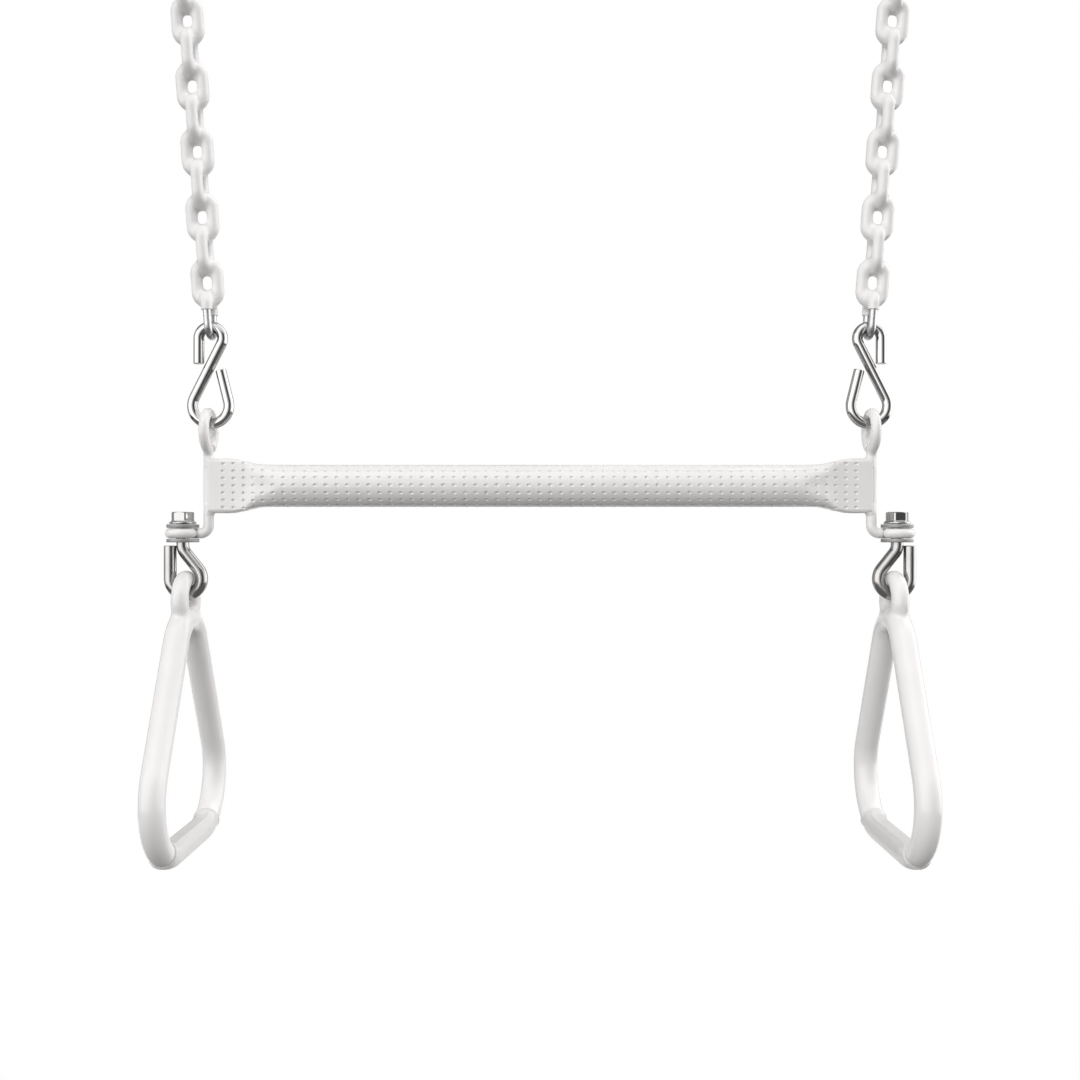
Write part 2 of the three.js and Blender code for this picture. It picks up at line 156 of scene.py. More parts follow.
LOWER_WASHER_Z = LOWER_EYE_Z - BRACKET_R - GAP - WASHER_T
HOOK_TOP_Z = NUT_Z + FLANGE_T + NUT_H - NUT_RECESS
HOOK_BEND_Z = LOWER_WASHER_Z - HOOK_STEM


# ---------------------------------------------------------------- camera

def place_camera():
    data = bpy.data.cameras.new("view")
    data.sensor_width = SENSOR_WIDTH
    data.lens = LENS
    data.clip_start = CLIP_START
    camera = bpy.data.objects.new("view", data)
    bpy.context.scene.collection.objects.link(camera)
    camera.location = (0, -CAMERA_AWAY * MM, -(HANG + CAMERA_DROP) * MM)
    camera.rotation_euler = (90 * DEG, 0, 0)
    bpy.context.scene.camera = camera


place_camera()


# ---------------------------------------------------------------- routes round pegs

# Points closer than this count as one
SAME_PLACE = 0.02
SAME_HEADING = 1e-6


def peg(x, y, radius=0.0, turn=1):
    return {"centre": np.array([x, y], float), "radius": radius, "turn": turn}


def heading_between(a, b):
    across = b["centre"] - a["centre"]
    offset = b["turn"] * b["radius"] - a["turn"] * a["radius"]
    run = math.sqrt(max(across @ across - offset * offset, 0))
    return math.atan2(across[1], across[0]) - math.atan2(offset, run)


def station_on(place, heading):
    reach = place["turn"] * place["radius"]
    return place["centre"] + reach * np.array([math.sin(heading), -math.cos(heading)])


def divided(start, end, pitch):
    """The points that divide a straight into parts no longer than the pitch, without its ends."""
    parts = max(1, math.ceil(np.linalg.norm(end - start) / pitch))
    return [start + (end - start) * part / parts for part in range(1, parts)]


def peg_route(pegs, closed=False, first=None, last=None, step=6 * DEG, pitch=1.0):
    """Points and headings of a flat route round the pegs, with its straights divided too."""
    count = len(pegs)
    leaving = [
        heading_between(pegs[i], pegs[(i + 1) % count]) if i < count - 1 or closed else last
        for i in range(count)
    ]
    arriving = [leaving[i - 1] if i > 0 or closed else first for i in range(count)]
    if leaving[-1] is None:
        leaving[-1] = arriving[-1]
    if arriving[0] is None:
        arriving[0] = leaving[0]
    points, headings = [], []

    def add_straight(end, heading):
        between = divided(points[-1], end, pitch)
        points.extend(between)
        headings.extend([heading] * len(between))

    def add(point, heading):
        if points:
            if np.linalg.norm(point - points[-1]) < SAME_PLACE:
                return
            if abs(math.remainder(heading - headings[-1], 2 * math.pi)) <= SAME_HEADING:
                add_straight(point, heading)
        points.append(point)
        headings.append(heading)

    for place, arrive, leave in zip(pegs, arriving, leaving):
        if place["radius"] == 0:
            add(place["centre"], leave)
            continue
        sweep = ((leave - arrive) * place["turn"] + 1e-9) % (2 * math.pi) - 1e-9
        parts = max(1, math.ceil(sweep / step - 1e-9))
        for part in range(parts + 1):
            heading = arrive + place["turn"] * sweep * part / parts
            add(station_on(place, heading), heading)
    if closed:
        if np.linalg.norm(points[0] - points[-1]) < SAME_PLACE:
            points.pop()
            headings.pop()
        else:
            add_straight(points[0], headings[0])
    return np.array(points), np.array(headings)


def in_space(route, origin, right, up):
    points, headings = route
    right, up = np.array(right, float), np.array(up, float)
    place = np.array(origin, float) + points[:, :1] * right + points[:, 1:] * up
    along = np.cos(headings)[:, None] * right + np.sin(headings)[:, None] * up
    return place, along


def backwards(line):
    return line[0][::-1], -line[1][::-1]


def joined(*lines):
    points, along = [], []
    for place, direction in lines:
        for p, d in zip(place, direction):
            if points and np.linalg.norm(p - points[-1]) < SAME_PLACE:
                continue
            points.append(p)
            along.append(d)
    return np.array(points), np.array(along)


def round_outline(sides, radius=1.0):
    angle = 2 * math.pi * np.arange(sides) / sides
    return np.stack([radius * np.cos(angle), radius * np.sin(angle)], -1)


def rings(line, normal, outlines):
    """A ring of points round each station, given from the station. The outline is one for all
    stations or one for each."""
    points, along = line
    normal = np.array(normal, float)
    out = np.empty((len(points), outlines.shape[-2], 3))
    for index, direction in enumerate(along):
        normal = normal - direction * (normal @ direction)
        normal = normal / np.linalg.norm(normal)
        side = np.cross(direction, normal)
        outline = outlines if outlines.ndim == 2 else outlines[index]
        out[index] = outline[:, :1] * normal + outline[:, 1:] * side
    return out


def tube_rows(line, normal, sides, radius):
    return line[0][:, None] + rings(line, normal, round_outline(sides, radius))


# A rounded edge, as shares of its size: how far along the rod, and how much is cut away there
ROD_EDGE = [(0.0, 1.0), (0.13, 0.5), (0.5, 0.13), (1.0, 0.0)]

# Stations this near a rod's end, counted from it, are kept only if they clear its rounded edge
NEAR_END = 3
CLEAR_OF_EDGE = 0.05


def rod_rows(line, normal, radius, sides=28, edge=0.5):
    """Rows of a bent rod with square-cut ends whose edges are rounded."""
    points, along = line
    head = [points[0] + along[0] * edge * run for run, _ in ROD_EDGE]
    tail = [points[-1] - along[-1] * edge * run for run, _ in ROD_EDGE][::-1]
    last = len(points) - 1
    kept = [i for i in range(1, last)
            if (i > NEAR_END or (points[i] - head[-1]) @ along[0] > CLEAR_OF_EDGE)
            and (i < last - NEAR_END or (tail[0] - points[i]) @ along[-1] > CLEAR_OF_EDGE)]
    count = len(ROD_EDGE)
    places = np.array(head + [points[i] for i in kept] + tail)
    ways = np.array([along[0]] * count + [along[i] for i in kept] + [along[-1]] * count)
    cuts = [edge * cut for _, cut in ROD_EDGE]
    radii = np.full(len(places), radius)
    radii[:count] -= cuts
    radii[-count:] -= cuts[::-1]
    outlines = round_outline(sides)[None] * radii[:, None, None]
    return places[:, None, :] + rings((places, ways), normal, outlines)


# ---------------------------------------------------------------- blending of shapes

GRADIENT_STEP = 0.02
SWELL_ROUNDS = 8


def smooth_min(a, b, reach):
    h = np.maximum(reach - np.abs(a - b), 0) / reach
    return np.minimum(a, b) - h * h * reach / 4


def gradient(field, points):
    """The direction in which a field grows, at each point."""
    out = np.empty_like(points)
    for axis in range(3):
        move = np.zeros(3)
        move[axis] = GRADIENT_STEP
        out[:, axis] = field(points + move) - field(points - move)
    return out / np.maximum(np.linalg.norm(out, axis=1, keepdims=True), 1e-9)


def line_distance(points, line):
    """Distance from each point to a polyline."""
    best = np.full(len(points), np.inf)
    for a, b in zip(line[:-1], line[1:]):
        span = b - a
        share = np.clip(((points - a) @ span) / (span @ span), 0, 1)
        best = np.minimum(best, ((points - a - share[:, None] * span) ** 2).sum(1))
    return np.sqrt(best)


def swell(points, normals, own, other, reach, limit):
    """Moves points of one surface out until they lie on its smooth union with another."""
    grown = np.zeros(len(points))
    for _ in range(SWELL_ROUNDS):
        at = points + normals * grown[:, None]
        grown = np.clip(grown - smooth_min(own(at), other(at), reach), 0, limit)
    return points + normals * grown[:, None]


# ---------------------------------------------------------------- meshes

def grid_faces(bands, width, closed):
    rows = bands if closed else bands - 1
    i, j = np.meshgrid(np.arange(rows), np.arange(width), indexing="ij")
    far = (i + 1) % bands
    near_next = i * width + (j + 1) % width
    quads = [i * width + j, near_next, far * width + (j + 1) % width, far * width + j]
    return np.stack(quads, -1).reshape(-1, 4).tolist()


def skin(rows, closed=False):
    """Points and faces of a skin over rows of points. An open skin gets flat caps."""
    bands, width = rows.shape[:2]
    faces = grid_faces(bands, width, closed)
    if not closed:
        faces.append(list(range(width))[::-1])
        faces.append([(bands - 1) * width + j for j in range(width)])
    return rows.reshape(-1, 3), faces


def add_piece(name, shape, mirror, material, body, nodes, sharp=40, normals=None):
    """Adds one piece drawn for the right-hand side, or its mirror image for the left. Edges
    that turn more than `sharp` degrees stay sharp, unless the normals are given."""
    points, faces = shape
    points = np.array(points, float)
    if mirror:
        points = points * [-1, 1, 1]
        faces = [list(face)[::-1] for face in faces]
    points = (points - [0, 0, HANG]) * MM
    mesh = bpy.data.meshes.new(name)
    mesh.from_pydata(points.tolist(), [], faces)
    mesh.polygons.foreach_set("use_smooth", [True] * len(mesh.polygons))
    mesh.update()
    if normals is None:
        mesh.set_sharp_from_angle(angle=sharp * DEG)
    else:
        turned = np.array(normals) * ([-1, 1, 1] if mirror else [1, 1, 1])
        mesh.normals_split_custom_set_from_vertices(turned.tolist())
    mesh.materials.append(material)
    piece = bpy.data.objects.new(name, mesh)
    bpy.context.scene.collection.objects.link(piece)
    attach(piece, body)
    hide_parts(*nodes)


# ---------------------------------------------------------------- materials

# Noise values between which colour and roughness go from their low to their high end
NOISE_LOW = 0.3
NOISE_HIGH = 0.7


def new_material(name):
    material = bpy.data.materials.new(name)
    material.use_nodes = True
    nodes = material.node_tree.nodes
    nodes.clear()
    output = nodes.new("ShaderNodeOutputMaterial")
    shader = nodes.new("ShaderNodeBsdfPrincipled")
    material.node_tree.links.new(shader.outputs[0], output.inputs[0])
    return material, shader


def noise(tree, scale, detail=3, roughness=0.5):
    place = tree.nodes.new("ShaderNodeTexCoord")
    texture = tree.nodes.new("ShaderNodeTexNoise")
    texture.inputs["Scale"].default_value = scale
    texture.inputs["Detail"].default_value = detail
    texture.inputs["Roughness"].default_value = roughness
    tree.links.new(place.outputs["Object"], texture.inputs["Vector"])
    return texture.outputs["Fac"]


def mottled(tree, source, low, high):
    """A colour that follows the noise."""
    node = tree.nodes.new("ShaderNodeValToRGB")
    stops = ((NOISE_LOW, low), (NOISE_HIGH, high))
    for element, (place, color) in zip(node.color_ramp.elements, stops):
        element.position = place
        element.color = (*color, 1)
    tree.links.new(source, node.inputs[0])
    return node.outputs[0]


def spread(tree, source, low, high):
    """A number that follows the noise."""
    node = tree.nodes.new("ShaderNodeMapRange")
    node.inputs["From Min"].default_value = NOISE_LOW
    node.inputs["From Max"].default_value = NOISE_HIGH
    node.inputs["To Min"].default_value = low
    node.inputs["To Max"].default_value = high
    tree.links.new(source, node.inputs["Value"])
    return node.outputs[0]


def relief(tree, scale, height, detail):
    """Fine relief from noise, with its height in millimetres."""
    node = tree.nodes.new("ShaderNodeBump")
    node.inputs["Strength"].default_value = 1
    node.inputs["Distance"].default_value = height * MM
    tree.links.new(noise(tree, scale, detail), node.inputs["Height"])
    return node.outputs[0]


def finished(name, low, high, rough, bump, patches, gloss):
    """A material whose colour and roughness follow noise. Patches and gloss are the scale,
    detail and roughness of those two noises."""
    material, shader = new_material(name)
    tree = material.node_tree
    tree.links.new(mottled(tree, noise(tree, *patches), low, high), shader.inputs["Base Color"])
    tree.links.new(spread(tree, noise(tree, *gloss), *rough), shader.inputs["Roughness"])
    tree.links.new(relief(tree, *bump), shader.inputs["Normal"])
    return material, shader


def plastic(name, low, high, rough, bump):
    """A pale coat or moulding: slight mottling, gloss that varies and a fine relief."""
    return finished(name, low, high, rough, bump, (60, 3, 0.5), (180, 3, 0.5))[0]


def metal(name, low, high, rough, bump, patch=80):
    """A plated or bare metal with small differences of tone and gloss."""
    material, shader = finished(name, low, high, rough, bump, (patch, 4, 0.6),
                                (patch * 2.5, 3, 0.5))
    shader.inputs["Metallic"].default_value = 1
    return material


# Each has its darkest and palest colour, its roughness from and to, and its relief's scale,
# height and detail
TUBE_PAINT = plastic("tube_paint", (0.775, 0.758, 0.748), (0.805, 0.788, 0.778), (0.12, 0.18),
                     (150, 0.015, 2))
BRACKET_PAINT = plastic("bracket_paint", (0.80, 0.785, 0.775), (0.83, 0.815, 0.805), (0.14, 0.22),
                        (400, 0.012, 2))
CHAIN_COAT = plastic("coated_chain", (0.80, 0.785, 0.775), (0.83, 0.815, 0.805), (0.06, 0.1),
                     (200, 0.03, 2))
HANDLE_COAT = plastic("handle_coat", (0.80, 0.784, 0.774), (0.82, 0.804, 0.794), (0.06, 0.11),
                      (90, 0.02, 2))
GRIP_PLASTIC = plastic("grip_plastic", (0.68, 0.665, 0.655), (0.70, 0.685, 0.675), (0.2, 0.26),
                       (120, 0.012, 2))
BRIGHT_STEEL = metal("bright_steel", (0.50, 0.493, 0.486), (0.56, 0.553, 0.546), (0.09, 0.13),
                     (90, 0.012, 2))
HOOK_STEEL = metal("hook_steel", (0.38, 0.372, 0.364), (0.43, 0.42, 0.412), (0.17, 0.22),
                   (120, 0.02, 2))
NUT_STEEL = metal("nut_steel", (0.42, 0.415, 0.41), (0.46, 0.455, 0.45), (0.1, 0.15),
                  (90, 0.008, 2))
WASHER_ZINC = metal("washer_zinc", (0.36, 0.358, 0.355), (0.41, 0.407, 0.403), (0.58, 0.66),
                    (250, 0.02, 3))
GALVANISED = metal("galvanised_wire", (0.45, 0.45, 0.46), (0.66, 0.66, 0.66), (0.3, 0.45),
                   (500, 0.05, 4), patch=900)


# ---------------------------------------------------------------- tube

# Dimples: their columns along the round middle of the bar and towards its ends, their rows
# round it, and their half length, half height and depth
DIMPLE_ENDS = [175.0, 181.3, 187.9, 194.8, 201.5]
DIMPLE_SPACES = 52
DIMPLE_ROWS = 17
DIMPLE_LONG = 1.5
DIMPLE_HIGH = 1.02
DIMPLE_DEEP = 0.95

# How far a dimple's depth leans towards -X and towards its lower edge
LEAN_ALONG = 0.8
LEAN_DOWN = 0.1

# Stations over a dimple, as shares of its half size, and a value that lies off every dimple
DIMPLE_GRID = [-1.2, -1, -0.9, -0.7, -0.4, 0, 0.4, 0.7, 0.9, 1, 1.2]
OFF_DIMPLES = 9.0

# On the flat end, rows with this spacing lie on the front, this many each side of its middle
# row, and on the back. Two more lie beside each pressed edge.
FLAT_ROW_SPACE = 4.63
FLAT_ROWS = 3
EDGE_ROW_OFFSET = 1.4

# The hollow that pressing leaves beside the flat, the rounding of the tube's ends, and the
# stations from the ends inwards
DISH_DEEP = 0.55
END_ROUND = 1.2
END_STATIONS = [0, 0.1, 0.35, 0.7, 1.2, 2, 3, 4, 5, 6, 7]
GIRTH = math.pi * TUBE_DIAMETER

# How much of the flat front is left along the fade from the flat end to the round tube, and
# the weights that smooth it
FADE_SHARES = [0, 0.18, 0.3, 0.44, 0.54, 0.74, 1]
FRONT_SHARES = [1, 1, 0.93, 0.68, 0.42, 0.3, 0]
FADE_NEARBY = np.linspace(-3, 3, 13)
FADE_WEIGHTS = np.exp(-(FADE_NEARBY / 1.6) ** 2)


def eased(share):
    share = np.clip(share, 0, 1)
    return share * share * (3 - 2 * share)


def past_flat(x):
    return SHANK_X - FLAT_LENGTH - abs(x)


def tube_section(x):
    """Corner radius, half front flat and half top flat of the tube at x. The girth stays."""
    fade = past_flat(x)
    high = FLAT_HALF + (TUBE_DIAMETER / 2 - FLAT_HALF) * eased(fade / FLARE_LENGTH)
    shares = np.interp((fade + FADE_NEARBY) / FADE_LENGTH, FADE_SHARES, FRONT_SHARES)
    share = shares @ FADE_WEIGHTS / FADE_WEIGHTS.sum()
    front = min(share * (FLAT_HALF - FLAT_CORNER), high - FLAT_CORNER)
    corner = high - front
    return corner, front, (GIRTH - 2 * math.pi * corner - 4 * front) / 4


def tube_outline(s, section):
    """Across, up and outward direction for lengths along the girth from the front's middle."""
    corner, front, top = section
    up_sign = np.where(s < 0, -1.0, 1.0)
    s = np.abs(s)
    back = s > GIRTH / 4
    s = np.where(back, GIRTH / 2 - s, s)
    angle = np.clip((s - front) / corner, 0, math.pi / 2)
    along_top = np.clip(s - front - corner * math.pi / 2, 0, None)
    across = -(top - along_top) - corner * np.cos(angle)
    up = np.minimum(s, front) + corner * np.sin(angle)
    side = np.where(back, -1.0, 1.0)
    return (across * side, up * up_sign,
            np.stack([-np.cos(angle) * side, np.sin(angle) * up_sign], -1))


def tube_stations():
    """The dimples' columns, and all places along the bar where the tube gets a row."""
    inner = np.linspace(-DIMPLE_ENDS[0], DIMPLE_ENDS[0], DIMPLE_SPACES + 1)
    columns = np.array([-x for x in DIMPLE_ENDS[:0:-1]] + list(inner) + DIMPLE_ENDS[1:])
    xs = (columns[:, None] + DIMPLE_LONG * np.array(DIMPLE_GRID)).ravel()
    ends = SHANK_X - np.array(END_STATIONS)
    middles = (columns[1:] + columns[:-1]) / 2
    return columns, np.unique(np.round(np.concatenate([xs, ends, -ends, middles]), 3))


def dimple_rows():
    """Places of the dimples' rows along the girth, on the round tube and on the flat end."""
    number = np.arange(DIMPLE_ROWS) - DIMPLE_ROWS // 2
    on_round = number * GIRTH / DIMPLE_ROWS
    from_back = (DIMPLE_ROWS / 2 - np.abs(number)) * FLAT_ROW_SPACE
    on_flat = np.where(np.abs(number) <= FLAT_ROWS, number * FLAT_ROW_SPACE,
                       np.sign(number) * (GIRTH / 2 - from_back))
    for side in (-1, 1):
        on_flat[number == (FLAT_ROWS + 1) * side] = side * (GIRTH / 4 - EDGE_ROW_OFFSET)
        on_flat[number == (FLAT_ROWS + 2) * side] = side * (GIRTH / 4 + EDGE_ROW_OFFSET)
    return on_round, on_flat


def tube_shape():
    columns, xs = tube_stations()
    on_round, on_flat = dimple_rows()
    offsets = DIMPLE_HIGH * np.array(DIMPLE_GRID)
    v = np.tile(np.append(offsets, OFF_DIMPLES), DIMPLE_ROWS) / DIMPLE_HIGH
    rows = []
    for x in xs:
        section = tube_section(x)
        places = on_flat + (on_round - on_flat) * eased(past_flat(x) / FLARE_LENGTH)
        after = np.append(places[1:], places[0] + GIRTH)
        s = np.concatenate([np.append(p + offsets, (p + q) / 2) for p, q in zip(places, after)])
        s = (s + GIRTH / 2) % GIRTH - GIRTH / 2
        u = (x - columns[np.argmin(np.abs(columns - x))]) / DIMPLE_LONG
        bowl = np.clip(1 - u * u - v * v, 0, 1) * (1 - LEAN_ALONG * u - LEAN_DOWN * v)
        across, up, outward = tube_outline(s, section)
        from_middle = np.minimum(np.abs(s), GIRTH / 2 - np.abs(s)) / max(section[1], 0.1)
        fade = past_flat(x) / FADE_LENGTH
        dish = DISH_DEEP * math.sin(math.pi * min(max(fade, 0), 1)) ** 2
        sunk = DIMPLE_DEEP * bowl + dish * np.clip(1 - from_middle ** 2, 0, 1) ** 2
        short = max(END_ROUND - (SHANK_X - abs(x)), 0)
        sunk = sunk + END_ROUND - math.sqrt(max(END_ROUND ** 2 - short ** 2, 0))
        rows.append(np.stack([np.full(len(s), x), across - outward[:, 0] * sunk,
                              up - outward[:, 1] * sunk], -1))
    return skin(np.array(rows)[:, ::-1])


def tube_field(points):
    """Distance from the tube's flat end, with its corners and end edges rounded."""
    corner, front, top = tube_section(SHANK_X)
    across = np.maximum(np.abs(points[:, 1]) - top, 0)
    up = np.maximum(np.abs(points[:, 2]) - front, 0)
    side = np.hypot(across, up) - corner + END_ROUND
    end = np.abs(points[:, 0]) - SHANK_X + END_ROUND
    outside = np.hypot(np.maximum(side, 0), np.maximum(end, 0))
    return outside + np.minimum(np.maximum(side, end), 0) - END_ROUND


# ---------------------------------------------------------------- brackets

# The weld: how far it spreads and how far it swells the rod, and how near the tube's surface
# and its edges a point of the rod has to be
WELD_REACH = 2.4
WELD_LIMIT = 0.7
WELD_NEAR = 4
WELD_INSIDE = 6


def eye_route(eye, neck):
    reach = neck_reach(eye, neck)
    return peg_route([peg(0, 0, eye, -1), peg(neck, -reach, neck, 1)],
                     first=math.pi - EYE_MOUTH, last=-math.pi / 2)


def bracket_line():
    upper = in_space(eye_route(UPPER_EYE_R, UPPER_NECK_R), (SHANK_X, 0, UPPER_EYE_Z),
                     (0, -1, 0), Z_AXIS)
    bend_z = LOWER_EYE_Z + BRACKET_BEND_R
    straight = in_space(peg_route([peg(0, 0), peg(0, bend_z - upper[0][-1][2])], pitch=0.6),
                        upper[0][-1], X_AXIS, Z_AXIS)
    bend = in_space(peg_route([peg(SHANK_X + BRACKET_BEND_R, bend_z, BRACKET_BEND_R, 1)],
                              first=-math.pi / 2, last=0), ORIGIN, X_AXIS, Z_AXIS)
    lower = in_space(eye_route(LOWER_EYE_R, LOWER_NECK_R), (SWIVEL_X, 0, LOWER_EYE_Z),
                     Y_AXIS, X_AXIS)
    return joined(upper, straight, bend, backwards(lower))


def bracket_shape():
    line = bracket_line()
    points, faces = skin(rod_rows(line, X_AXIS, BRACKET_R))

    def own(at):
        return line_distance(at, line[0]) - BRACKET_R

    near = np.abs(tube_field(points)) < WELD_NEAR
    near &= np.abs(points[:, 2]) > FLAT_HALF - WELD_INSIDE
    outward = gradient(own, points[near])
    moved = points.copy()
    moved[near] = swell(points[near], outward, own, tube_field, WELD_REACH, WELD_LIMIT)
    return moved, faces


# ---------------------------------------------------------------- S-hooks

def s_hook_shape():
    upper = peg(0, S_SPACING / 2, S_UPPER_R, 1)
    lower = peg(0, -S_SPACING / 2, S_LOWER_R, -1)
    slope = heading_between(upper, lower)
    on_slope = station_on(upper, slope)
    away = np.array([-math.sin(slope), math.cos(slope)])
    gap = 2 * S_R + S_MOUTH

    def close_to(start, heading):
        """Where a leg with this heading ends, just short of the hook's diagonal."""
        lift = abs((start - on_slope) @ away)
        reach = (lift - gap) / abs(math.sin(heading - slope))
        return start + reach * np.array([math.cos(heading), math.sin(heading)])

    short_heading = math.pi / 2
    long_heading = math.pi / 2 - S_LEAN
    short_end = close_to(station_on(upper, short_heading), short_heading + math.pi)
    long_end = close_to(station_on(lower, long_heading), long_heading)
    route = peg_route([peg(*short_end), upper, lower, peg(*long_end)])
    line = in_space(route, (S_X, 0, S_Z), X_AXIS, Z_AXIS)
    return skin(rod_rows(line, Y_AXIS, S_R, edge=0.35))


# ---------------------------------------------------------------- chains

# Where two coats meet, they blend over this reach and end this far past halfway
COAT_BLEND = 5.0
COAT_MARGIN = 0.5

# Radii at which the coat's surface is looked for, from the first to the coat's own and past it
COAT_SEARCH = 1.2
COAT_PAST = 2.2
COAT_STEP = 0.05

# The lowest link's coat: where it ends on each leg, its radius, and how far it overlaps the wire
COAT_ENDS = (2.8, 1.2)
END_COAT_R = 3.5
COAT_OVERLAP = 0.05

COAT_SIDES = 30
WIRE_SIDES = 24


def link_distance(points, high=LINK_HALF, low=-LINK_HALF, turned=False):
    """Distance from a link's centre line. The link stands in XZ, or in YZ if turned."""
    flat, out = (points[..., 1], points[..., 0]) if turned else (points[..., 0], points[..., 1])
    z = points[..., 2] - np.clip(points[..., 2], low + LINK_BOW, high - LINK_BOW)
    return np.hypot(np.hypot(flat, z) - LINK_BOW, out)


def fused(centres, directions, radius, neighbours, own):
    """Points of a coat that runs into the coats of its neighbours, and their normals."""
    steps = np.arange(COAT_SEARCH, radius + COAT_PAST, COAT_STEP)
    at = centres[:, None] + directions[:, None] * steps[None, :, None]

    def other(points):
        return np.min([link_distance(points - np.array([0, 0, shift]), turned=True)
                       for shift in neighbours], axis=0)

    def blended(mine, theirs):
        return smooth_min(mine - radius, theirs - COAT_R, COAT_BLEND)

    mine, theirs = own(at), other(at)
    bound = np.maximum(blended(mine, theirs), mine - theirs - COAT_MARGIN)
    index = np.clip(np.argmax(bound >= 0, axis=1), 1, len(steps) - 1)
    rows = np.arange(len(centres))
    before, after = bound[rows, index - 1], bound[rows, index]
    share = np.clip(-before / np.maximum(after - before, 1e-9), 0, 1)
    reach = steps[index - 1] + COAT_STEP * share
    points = centres + directions * reach[:, None]
    return points, gradient(lambda p: blended(own(p), other(p)), points)


def link_line(high, low):
    pegs = [peg(0, high - LINK_BOW, LINK_BOW, 1), peg(0, low + LINK_BOW, LINK_BOW, 1)]
    return in_space(peg_route(pegs, closed=True, pitch=0.7), ORIGIN, X_AXIS, Z_AXIS)


def coated_link(neighbours):
    line = link_line(LINK_HALF, -LINK_HALF)
    directions = rings(line, Y_AXIS, round_outline(COAT_SIDES)).reshape(-1, 3)
    centres = np.repeat(line[0], COAT_SIDES, axis=0)
    points, normals = fused(centres, directions, COAT_R, neighbours, link_distance)
    return (points, grid_faces(len(line[0]), COAT_SIDES, True)), normals


def bare_link():
    line = link_line(LINK_HALF, -BARE_FOOT)
    return skin(tube_rows(line, Y_AXIS, WIRE_SIDES, WIRE_R), closed=True), None


def link_coating():
    """The dipped coat of the lowest link, cut square above the middle of both its legs."""
    bow = peg(0, LINK_HALF - LINK_BOW, LINK_BOW, 1)
    ends = [peg(LINK_BOW, COAT_ENDS[1]), peg(-LINK_BOW, COAT_ENDS[0])]
    route = peg_route([ends[0], bow, ends[1]], pitch=0.5)
    line = in_space(route, ORIGIN, X_AXIS, Z_AXIS)
    outward = rings(line, Y_AXIS, round_outline(COAT_SIDES))
    centres = np.repeat(line[0], COAT_SIDES, axis=0)

    def own(points):
        return link_distance(points, LINK_HALF, -BARE_FOOT)

    outer, _ = fused(centres, outward.reshape(-1, 3), END_COAT_R, [PITCH], own)
    inner = line[0][:, None] + outward * (WIRE_R - COAT_OVERLAP)
    return skin(np.concatenate([outer.reshape(inner.shape), inner[::-1]]), closed=True)


def in_chain(shape, number):
    """Sets a link's shape at its place in the right-hand chain. Every other link is turned."""
    points, faces = shape
    if number % 2 == 1:
        points = np.stack([-points[:, 1], points[:, 0], points[:, 2]], -1)
    side = np.array([math.cos(CHAIN_LEAN), 0, -math.sin(CHAIN_LEAN)])
    placed = points[:, :1] * side + points[:, 1:2] * [0, 1, 0] + points[:, 2:] * CHAIN_UP
    return placed + CHAIN_ORIGIN + (CHAIN_LIFT + (number - 1) * PITCH) * CHAIN_UP, faces


def chain_normals(normals, number):
    return in_chain((normals, None), number)[0] - in_chain((np.zeros((1, 3)), None), number)[0]


# ---------------------------------------------------------------- swivels

HOOK_SIDES = 36
WASHER_SIDES = 96
NUT_SIDES = 240

# Rounded edges of the washers, and how much they cut from the corner
WASHER_EDGE = 0.3
WASHER_CUT = 0.09

# The nut: the cut on its upright corners, its top face as a share of its width over the flats,
# a radius between that and the corners, and the slope of its chamfer
CORNER_CUT = 0.25
TOP_SHARE = 0.97
RING_SHARE = 1.06
CHAMFER = math.tan(33 * DEG)


def swivel_line():
    """The swivel hook's route from its top to the end of its loop, and the loop's height."""
    inward = HOOK_BEND_R - HOOK_INSET
    radii = HOOK_LOOP_R + HOOK_BEND_R
    run = (radii * math.cos(HOOK_SLOPE) - inward) / math.sin(HOOK_SLOPE)
    loop_z = HOOK_BEND_Z - radii * math.sin(HOOK_SLOPE) - run * math.cos(HOOK_SLOPE)
    route = peg_route([
        peg(0, HOOK_TOP_Z),
        peg(-HOOK_BEND_R, HOOK_BEND_Z, HOOK_BEND_R, -1),
        peg(-HOOK_INSET, loop_z, HOOK_LOOP_R, 1),
        peg(HOOK_LOOP_R - HOOK_INSET, LOWER_WASHER_Z - HOOK_MOUTH),
    ])
    return route, loop_z


def swivel_hook_shape():
    line = in_space(swivel_line()[0], (SWIVEL_X, 0, 0), X_AXIS, Z_AXIS)
    return skin(rod_rows(line, Y_AXIS, HOOK_R, sides=HOOK_SIDES))


def turned_rows(profile, sides):
    """Rows round an upright axis from a profile of radius and height, each a function of the
    angle or a number."""
    angle = 2 * math.pi * np.arange(sides) / sides
    rows = []
    for radius, height in profile:
        r = radius(angle) if callable(radius) else np.full(sides, float(radius))
        z = height(angle) if callable(height) else np.full(sides, float(height))
        rows.append(np.stack([r * np.cos(angle), r * np.sin(angle), z], -1))
    return np.array(rows)


def washer_shape(z):
    bore, edge, cut, t = HOOK_R + GAP, WASHER_EDGE, WASHER_CUT, WASHER_T
    profile = [(bore, edge), (bore + edge, 0), (WASHER_R - edge, 0), (WASHER_R - cut, cut),
               (WASHER_R, edge), (WASHER_R, t - edge), (WASHER_R - cut, t - cut),
               (WASHER_R - edge, t), (bore + edge, t), (bore, t - edge)]
    return skin(turned_rows(profile, WASHER_SIDES) + [SWIVEL_X, 0, z], closed=True)


